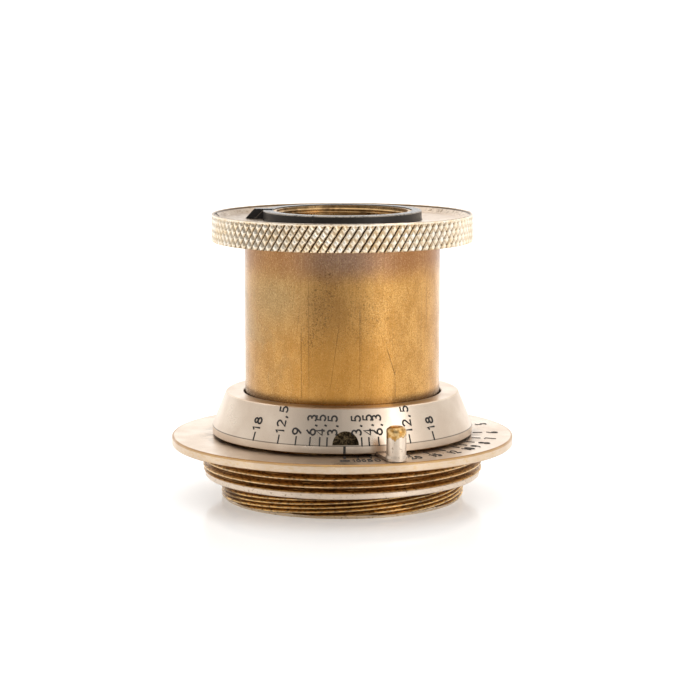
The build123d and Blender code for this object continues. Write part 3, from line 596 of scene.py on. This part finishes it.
def lathe(name, outline, columns, material, body, shape=None):
    """Turns a closed (radius, height) outline about the axis. shape moves its points, to cut a relief."""
    rows = len(outline)
    radii, heights = np.array(outline, float).T
    turn = np.linspace(0.0, TAU, columns, endpoint=False)
    turns, r = np.meshgrid(turn, radii)
    z = np.repeat(heights[:, None], columns, 1)
    if shape is not None:
        r, z = shape(turns, r, z)
    points = np.stack([r * np.sin(turns), -r * np.cos(turns), z], -1).reshape(-1, 3) * MM
    row, column = np.meshgrid(np.arange(rows), np.arange(columns), indexing="ij")
    row_next = (row + 1) % rows
    column_next = (column + 1) % columns
    faces = np.stack([
        row * columns + column,
        row * columns + column_next,
        row_next * columns + column_next,
        row_next * columns + column,
    ], -1).reshape(-1, 4)
    area = np.sum(radii * np.roll(heights, -1) - np.roll(radii, -1) * heights)
    if area < 0:
        faces = faces[:, ::-1]
    mesh = bpy.data.meshes.new(name)
    mesh.from_pydata(points.tolist(), [], faces.tolist())
    mesh.polygons.foreach_set("use_smooth", np.ones(len(faces), bool))
    mesh.set_sharp_from_angle(angle=math.radians(SHARP_ANGLE))
    mesh.update()
    return finish_piece(bpy.data.objects.new(name, mesh), material, body)


def steps(start, end, count):
    """count + 1 points along the straight line from start to end."""
    start, end = np.array(start), np.array(end)
    return [tuple(start + (end - start) * k / count) for k in range(count + 1)]


def ridge(distance, width):
    """A V-shaped groove: 1 at its bottom, 0 at width from it."""
    return np.clip(1 - np.abs(distance) / width, 0, 1)


def off_whole(value):
    """Distance to the nearest whole number, with its sign."""
    return value - np.round(value)


# ---- Knurled front ring

GROOVES = 100
GROOVE_LEAN = math.tan(math.radians(33))
GROOVE_PITCH = TAU * FRONT_R / GROOVES
# Depths in millimetres, and half widths as shares of the pitch
MAIN_DEPTH, MAIN_WIDTH = 0.38, 0.26
CROSS_DEPTH, CROSS_WIDTH = 0.28, 0.32
KNURL_ROWS = 64
KNURL_COLUMNS = 12 * GROOVES


def knurl(turn, r, z):
    """The relief: deep grooves that lean to the right, and shallower ones across them."""
    rise = (z - FRONT_BOTTOM) * GROOVE_LEAN / GROOVE_PITCH
    across = GROOVES * turn / TAU
    main = ridge(off_whole(across - rise), MAIN_WIDTH) * MAIN_DEPTH
    crossing = ridge(off_whole(across + rise + 0.5), CROSS_WIDTH) * CROSS_DEPTH
    depth = np.maximum(main, crossing)
    fade = np.clip((FRONT_TOP - 0.20 - z) / 0.22, 0, 1)
    outside = np.clip((r - (FRONT_R - 0.30)) / 0.1, 0, 1)
    return r - depth * fade * outside, z


def knurled_front_ring():
    """The front ring: a knurled rim around a dish with a sloping bevel."""
    edge = 0.10
    centre_r = 11.03
    outline = [(TUBE_R, FRONT_BOTTOM)]
    outline += steps((FRONT_R - 0.55, FRONT_BOTTOM), (FRONT_R - 0.05, FRONT_BOTTOM + 0.03), 4)
    outline += steps((FRONT_R, FRONT_BOTTOM + edge), (FRONT_R, FRONT_TOP - edge), KNURL_ROWS)
    outline += [(FRONT_R - 0.03, FRONT_TOP - 0.03), (FRONT_R - edge, FRONT_TOP)]
    outline += [(DISH_RIM_R + 0.03, FRONT_TOP), (DISH_RIM_R, FRONT_TOP - 0.02)]
    outline += steps((DISH_RIM_R - 0.02, FRONT_TOP - 0.04), (DISH_R, DISH_FLOOR), 4)
    outline += [(DISH_R - 0.04, DISH_FLOOR), (centre_r + 0.05, DISH_FLOOR), (centre_r, DISH_FLOOR - 0.05)]
    outline += [(centre_r, TUBE_TOP), (TUBE_R, TUBE_TOP)]
    ring = lathe("knurled_ring", outline, KNURL_COLUMNS, knurl_material(), "tube", knurl)
    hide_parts("knurled_front_ring")


# ---- Threads

def screw_thread(crest_r, depth, pitch, bottom, top, flat, fade=0.3, starts=1):
    """A relief function: grooves between flat crests, climbing to the right and fading at the ends."""
    def shape(turn, r, z):
        phase = off_whole((z - starts * pitch * turn / TAU) / pitch)
        flank = 0.5 - flat / 2
        groove = np.clip((np.abs(phase) - flat / 2) / flank, 0, 1)
        ends = np.clip((z - bottom) / fade, 0, 1) * np.clip((top - z) / fade, 0, 1)
        outside = r > crest_r - 0.02
        return np.where(outside, r - depth * groove * ends, r), z
    return shape


def mount_thread():
    """The collar under the flange, with the mount's thread above its plated band."""
    bore_r = 17.0
    depth = 0.55
    band_r = THREAD_R - depth + 0.25
    undercut_r = 18.9
    outline = [(bore_r, COLLAR_BOTTOM), (band_r - 0.1, COLLAR_BOTTOM), (band_r, COLLAR_BOTTOM + 0.1)]
    outline += steps((band_r, COLLAR_BAND_TOP - 0.1), (THREAD_R, COLLAR_BAND_TOP + 0.12), 3)
    outline += steps((THREAD_R, COLLAR_BAND_TOP + 0.2), (THREAD_R, FLANGE_BOTTOM - 0.62), 46)
    outline += [(undercut_r, FLANGE_BOTTOM - 0.45), (undercut_r, FLANGE_BOTTOM), (bore_r, FLANGE_BOTTOM)]
    thread = screw_thread(THREAD_R, depth, MOUNT_PITCH, COLLAR_BAND_TOP, FLANGE_BOTTOM - 0.55, flat=0.1)
    collar = lathe("mount_thread", outline, 360, collar_material(), "mount", thread)
    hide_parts("mount_thread_collar")


def focus_screw():
    """The sleeve with its multi-start thread, its inner lip and its neck for the depth scale."""
    bore_r, neck_r, pocket_r, lip_r = SLEEVE_BORE_R, SCALE_BORE_R, 15.0, 13.63
    shoulder = BAND_BOTTOM
    lip_low, lip_high = 10.05, 11.35
    foot_r = SLEEVE_R - 0.36
    outline = [(bore_r, 0.06), (bore_r + 0.06, 0), (foot_r - 0.09, 0), (foot_r, 0.05)]
    outline += steps((foot_r, 0.26), (SLEEVE_R, 0.44), 2)
    outline += steps((SLEEVE_R, 0.5), (SLEEVE_R, shoulder), 140)
    outline += [(neck_r, shoulder), (neck_r, SLEEVE_TOP), (pocket_r, SLEEVE_TOP), (pocket_r, lip_high)]
    outline += [(lip_r, lip_high), (lip_r, lip_low), (bore_r, lip_low)]
    depth = 0.28
    pitch = FOCUS_LEAD / FOCUS_STARTS
    thread = screw_thread(SLEEVE_R, depth, pitch, 0.2, shoulder + 1, flat=0.2, starts=FOCUS_STARTS)
    sleeve = lathe("focusing_screw", outline, 480, sleeve_material(), "carrier", thread)
    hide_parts("focus_sleeve")


def hood_thread():
    """Fine thread inside the front opening: a triangular ridge that tapers off at both ends."""
    wall_r = 9.11
    crest_r = 8.93
    pitch = 0.4
    taper_rate = 12
    first, last = CELL_TOP + 0.12, BARREL_TOP - 0.08
    columns = 180
    turns = (last - first - pitch) / pitch
    count = int(columns * turns)
    points = []
    for k in range(count + 1):
        share = k / count
        taper = min(1.0, taper_rate * share, taper_rate * (1 - share))
        height = first + pitch * k / columns
        bearing = 360 * k / columns
        points.append(at(wall_r, bearing, height))
        ridge_r = wall_r - (wall_r - crest_r) * max(taper, 0.02)
        points.append(at(ridge_r, bearing, height + pitch / 2))
        points.append(at(wall_r, bearing, height + pitch * 0.98))
    faces = [(0, 1, 2)]
    for k in range(count):
        for side in range(3):
            first_point = 3 * k + side
            second_point = 3 * k + (side + 1) % 3
            faces.append((first_point, first_point + 3, second_point + 3, second_point))
    faces.append((3 * count + 2, 3 * count + 1, 3 * count))
    mesh = bpy.data.meshes.new("hood_thread_ridge")
    mesh.from_pydata(points, [], faces)
    mesh.update()
    thread = bpy.data.objects.new("hood_thread_ridge", mesh)
    finish_piece(thread, plain_brass_material(), "tube")


# ---- Scales: engraved lines and single-stroke numerals, filled with black

def arc(cx, cy, rx, ry, start, end, count=9):
    """Points along an ellipse's arc, from and to an angle in degrees."""
    angles = np.radians(np.linspace(start, end, count))
    return [(cx + rx * math.cos(a), cy + ry * math.sin(a)) for a in angles]


# Each numeral's width and strokes, for a height of 1. "~" stands for infinity.
GLYPHS = {
    "0": (0.62, [arc(0.31, 0.5, 0.25, 0.47, 90, 450, 17)]),
    "1": (0.40, [[(0.08, 0.78), (0.26, 0.97), (0.26, 0.03)]]),
    "2": (0.60, [arc(0.30, 0.72, 0.24, 0.25, 165, -35, 8) + [(0.06, 0.03), (0.56, 0.03)]]),
    "3": (0.58, [arc(0.27, 0.74, 0.21, 0.22, 150, -90, 8) + arc(0.27, 0.28, 0.25, 0.25, 90, -150, 8)]),
    "4": (0.62, [[(0.44, 0.03), (0.44, 0.97), (0.06, 0.30), (0.58, 0.30)]]),
    "5": (0.60, [[(0.52, 0.96), (0.16, 0.96), (0.12, 0.54)] + arc(0.28, 0.31, 0.25, 0.28, 110, -150, 10)]),
    "6": (0.60, [[(0.46, 0.95), (0.20, 0.66)] + arc(0.30, 0.29, 0.24, 0.26, 155, -205, 13)]),
    "7": (0.56, [[(0.06, 0.96), (0.52, 0.96), (0.22, 0.03)]]),
    "8": (0.60, [arc(0.30, 0.74, 0.20, 0.22, 270, -90, 13) + arc(0.30, 0.27, 0.25, 0.25, 90, -270, 13)]),
    "9": (0.60, [[(0.14, 0.05), (0.40, 0.34)] + arc(0.30, 0.71, 0.24, 0.26, -25, 335, 13)]),
    ",": (0.26, [[(0.14, 0.10), (0.06, -0.14)]]),
    "~": (1.30, [
        arc(0.36, 0.5, 0.28, 0.26, 45, 315, 12) + arc(0.94, 0.5, 0.28, 0.26, 225, 495, 12) + [(0.56, 0.68)],
    ]),
}
GLYPH_GAP = 0.16


def strokes_of(text, height, stretch, centred):
    """The strokes of a text as lists of (x, y), standing on y = 0, from x = 0 or centred on it."""
    width = sum(GLYPHS[letter][0] + GLYPH_GAP for letter in text) - GLYPH_GAP
    pen = -width / 2 if centred else 0.0
    result = []
    for letter in text:
        advance, strokes = GLYPHS[letter]
        result += [[((pen + x) * height * stretch, y * height) for x, y in stroke] for stroke in strokes]
        pen += advance + GLYPH_GAP
    return result


class Engraving:
    """Lines collected on a surface. place turns a bearing and a height or radius into a point."""

    def __init__(self, name, body, place):
        self.name, self.body, self.place, self.lines = name, body, place, []

    def line(self, points, width):
        """A line through points on the surface. width is in millimetres."""
        self.lines.append(([self.place(*point) for point in points], width))

    def tick(self, bearing, start, end, width):
        """A short line straight up the surface."""
        self.line([(bearing, start), (bearing, end)], width)

    def text_up(self, text, bearing, start, height, radius, width):
        """Numerals turned to read away from the flange, from their start."""
        for stroke in strokes_of(text, height, stretch=1.15, centred=False):
            points = [(bearing - math.degrees((y - height / 2) / radius), start + x) for x, y in stroke]
            self.line(points, width)

    def text_round(self, text, bearing, foot, height, radius, width, outward, stretch=1.0):
        """Numerals along a circle, with their tops away from the axis or towards it."""
        way = 1 if outward else -1
        for stroke in strokes_of(text, height, stretch, centred=True):
            points = [(bearing - way * math.degrees(x / radius), foot + way * y) for x, y in stroke]
            self.line(points, width)

    def build(self, material):
        """Makes one curve of all the lines, as thick as they are wide and sunk into the surface."""
        curve = bpy.data.curves.new(self.name, "CURVE")
        curve.dimensions = "3D"
        curve.bevel_depth = 1.0 * MM
        curve.bevel_resolution = 1
        curve.use_fill_caps = True
        for points, width in self.lines:
            spline = curve.splines.new("POLY")
            spline.points.add(len(points) - 1)
            for spot, point in zip(spline.points, points):
                spot.co = (*point, 1.0)
                spot.radius = width / 2
        finish_piece(bpy.data.objects.new(self.name, curve), material, self.body)


LINE_SINK = 0.012


def on_flange(bearing, radius):
    return at(radius, bearing, FLANGE_TOP - LINE_SINK)


def on_cone(bearing, height):
    return at(cone_r(height) - LINE_SINK, bearing, height)


def on_band(bearing, height):
    return at(BAND_R - LINE_SINK, bearing, height)


def on_bevel(bearing, radius):
    return at(radius, bearing, FRONT_TOP - (DISH_RIM_R - radius) * DISH_SLOPE - LINE_SINK)


def comma(number):
    """A number as engraved, with a decimal comma."""
    return f"{number:g}".replace(".", ",")


def feet_bearing(feet):
    """The index's bearing at a distance: the lens has moved by f squared / (distance - f)."""
    extension = FOCAL_LENGTH ** 2 / (feet * MM_PER_FOOT - FOCAL_LENGTH)
    return INDEX + 360 * extension / FOCUS_LEAD


def distance_scale(material):
    """Feet around the flange, with the numerals' tops towards the axis."""
    tick_r, foot_r, middle_r = 18.3, 21.8, 21
    scale = Engraving("distance_scale", "mount", on_flange)
    scale.tick(INDEX, tick_r, tick_r + 1.0, 0.36)
    scale.text_round("~", INDEX, foot_r, 1.5, middle_r, 0.18, outward=False, stretch=0.7)
    for feet in DISTANCES:
        bearing = feet_bearing(feet)
        scale.tick(bearing, tick_r, tick_r + 1.3, 0.2)
        narrow = 0.55 if feet == max(DISTANCES) else 0.8
        scale.text_round(comma(feet), bearing, foot_r, 1.65, middle_r, 0.2, outward=False, stretch=narrow)
    scale.build(material)


def depth_scale(material):
    """Depth of field on the cone, alike on both sides, and the index line on the band below it."""
    degrees_per_stop = 2.35
    widest_spread = 3.15 * degrees_per_stop
    tick_low, tick_high = CONE_BOTTOM - 0.04, CONE_BOTTOM + 1.12
    text_start, text_height, text_r = CONE_BOTTOM + 1.29, 1.3, 17.3
    scale = Engraving("depth_of_field_scale", "carrier", on_cone)
    for stop in APERTURES:
        spread = widest_spread if stop == WIDEST else degrees_per_stop * stop
        nudge = 2.1 if stop == WIDEST else 0.0
        for side in (-1, 1):
            scale.tick(INDEX + side * spread, tick_low, tick_high, 0.22)
            bearing = INDEX + side * (spread - nudge)
            scale.text_up(comma(stop), bearing, text_start, text_height, text_r, 0.27)
    scale.build(material)
    index = Engraving("index_line", "carrier", on_band)
    index.tick(INDEX, BAND_BOTTOM + 0.1, CONE_BOTTOM + 0.02, 0.36)
    index.build(material)


def aperture_scale(material):
    """Small numerals on the front ring's bevel, where the tab of the aperture ring points."""
    scale = Engraving("aperture_scale", "tube", on_bevel)
    for stop, turn in zip(APERTURES, np.linspace(0, APERTURE_TURN, len(APERTURES))):
        bearing = TAB_BEARING + turn
        scale.tick(bearing, DISH_R + 0.05, DISH_R + 0.22, 0.09)
        scale.text_round(comma(stop), bearing, DISH_R + 0.26, 0.42, DISH_R + 0.4, 0.07, outward=True)
    scale.build(material)


# ---- Materials of the CAD pieces that stay

def dress(material, *nodes):
    """Gives CAD nodes a material, in every slot."""
    for node in nodes:
        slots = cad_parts[node].data.materials
        if not slots:
            slots.append(material)
        for index in range(len(slots)):
            slots[index] = material


def dress_cad():
    brass = plain_brass_material()
    lacquer = lacquer_material()
    steel = steel_material("screw_steel", (0.52, 0.50, 0.47), (0.30, 0.28, 0.26), 0.26)
    blued = steel_material("blade_steel", (0.045, 0.048, 0.055), (0.02, 0.022, 0.026), 0.34)
    dress(flange_material(), "distance_flange", "catch_spring_plate", "catch_bracket")
    dress(scale_ring_material(), "depth_scale_ring")
    dress(knob_material(), "focusing_knob")
    dress(tube_material(), "lens_tube")
    dress(brass, "brake_ring", "locking_lugs", "barrel_shim", "barrel_clamp_ring", "lens_barrel")
    dress(lacquer, "seat_ring", "iris_base_plate", "iris_lock_ring", "front_cell", "front_keeper_ring")
    dress(lacquer, "rear_cell", "element_spacer", "rear_keeper_ring", "aperture_ring", "iris_cam_ring")
    dress(steel, "flange_screws", "focus_stop_screw", "scale_ring_screws", "catch_bracket_screws")
    dress(steel, "lug_screws", "locating_screws", "link_screws")
    dress(felt_material(), "grease_seal_ring", "brake_felt")
    glass = "front_element", "negative_element", "doublet_front_element", "doublet_rear_element"
    dress(glass_material(), *glass)
    dress(blued, *(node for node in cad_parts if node.startswith("iris_blade")))


# ---- Studio

def floor_and_wall():
    """One seamless sheet: the floor, a wide bend, the wall behind and a low rise at each side."""
    shade = Shade("studio_paper")
    grain = shade.noise(0.5, detail=6.0, rough=0.6)
    colour = shade.blend(grain, (0.93, 0.93, 0.93), (0.96, 0.96, 0.96))
    paper = shade.done(colour, 0.12, 0.0, Specular_IOR_Level=0.1, Emission_Strength=0.24)
    shade.shader.inputs["Emission Color"].default_value = (1.0, 0.99, 0.98, 1.0)
    front, back, bend, top = -1.6, 1.2, 0.5, 1.8
    rise_start, rise_width, rise_height = 1.0, 0.7, 0.4
    shares = np.linspace(0.0, 1.0, 9)
    sides = [(rise_start + rise_width * share, rise_height * share * share) for share in shares]
    across = [(-x, lift) for x, lift in reversed(sides)] + sides
    angles = np.linspace(0.1, math.pi / 2, 16)
    profile = [(front, 0.0), (back - bend, 0.0)]
    profile += [(back - bend + bend * math.sin(a), bend - bend * math.cos(a)) for a in angles]
    profile += [(back, top)]
    points = [(x, y, z + lift) for y, z in profile for x, lift in across]
    wide = len(across)
    corners = [wide * row + column for row in range(len(profile) - 1) for column in range(wide - 1)]
    faces = [(corner, corner + 1, corner + wide + 1, corner + wide) for corner in corners]
    mesh = bpy.data.meshes.new("studio_sweep")
    mesh.from_pydata(points, [], faces)
    mesh.polygons.foreach_set("use_smooth", [True] * len(faces))
    mesh.materials.append(paper)
    sweep = bpy.data.objects.new("studio_sweep", mesh)
    bpy.context.collection.objects.link(sweep)


def soft_light(name, place, size, power, target=(0, 0, 0.02)):
    """A white rectangular lamp that faces its target."""
    lamp = bpy.data.lights.new(name, "AREA")
    lamp.shape = "RECTANGLE"
    lamp.size, lamp.size_y = size
    lamp.energy = power
    holder = bpy.data.objects.new(name, lamp)
    holder.location = place
    holder.rotation_euler = (Vector(target) - Vector(place)).to_track_quat("-Z", "Y").to_euler()
    bpy.context.collection.objects.link(holder)


def room_air():
    """Light from all around, dimmer from the front, where a studio is dark behind the camera."""
    world = bpy.data.worlds.new("studio_air")
    world.use_nodes = True
    room = world.node_tree
    air = room.nodes["Background"]
    way = room.nodes.new("ShaderNodeTexCoord")
    front = room.nodes.new("ShaderNodeVectorMath")
    front.operation = "DOT_PRODUCT"
    front.inputs[1].default_value = Vector((-0.24, -0.96, 0.1)).normalized()
    room.links.new(way.outputs["Generated"], front.inputs[0])
    dim = room.nodes.new("ShaderNodeMapRange")
    dim.interpolation_type = "SMOOTHSTEP"
    dim.inputs["From Min"].default_value = 0.6
    dim.inputs["From Max"].default_value = 0.98
    dim.inputs["To Min"].default_value = 0.88
    dim.inputs["To Max"].default_value = 0.20
    room.links.new(front.outputs["Value"], dim.inputs["Value"])
    room.links.new(dim.outputs[0], air.inputs["Strength"])
    air.inputs["Color"].default_value = (1.0, 0.985, 0.965, 1.0)
    bpy.context.scene.world = world


def studio():
    """A white cove, with soft light from above, from the right and on the wall behind."""
    floor_and_wall()
    room_air()
    soft_light("overhead", (0.05, 0.05, 0.75), (0.9, 0.7), 1.0)
    soft_light("right_window", (0.42, -0.36, 0.22), (0.26, 0.34), 0.55)
    soft_light("wall_wash", (0.0, 0.55, 0.9), (1.6, 0.5), 5.0, (0.0, 1.1, 0.3))
    bpy.context.scene.view_settings.view_transform = "Standard"


def camera():
    """The photograph's camera, fitted to its ellipses: a long lens that looks down a little."""
    eye = bpy.data.cameras.new("photo_camera")
    eye.lens = 118.29
    eye.shift_x = 0.011
    eye.clip_start = 0.01
    holder = bpy.data.objects.new("photo_camera", eye)
    holder.location = (0.0, -0.31754, 0.06587)
    downward = 0.142
    holder.rotation_euler = (math.pi / 2 - downward, 0, 0)
    bpy.context.collection.objects.link(holder)
    bpy.context.scene.camera = holder


def main():
    knurled_front_ring()
    mount_thread()
    focus_screw()
    hood_thread()
    ink = ink_material()
    distance_scale(ink)
    depth_scale(ink)
    aperture_scale(ink)
    dress_cad()
    studio()
    camera()


main()
bpy.context.view_layer.update()
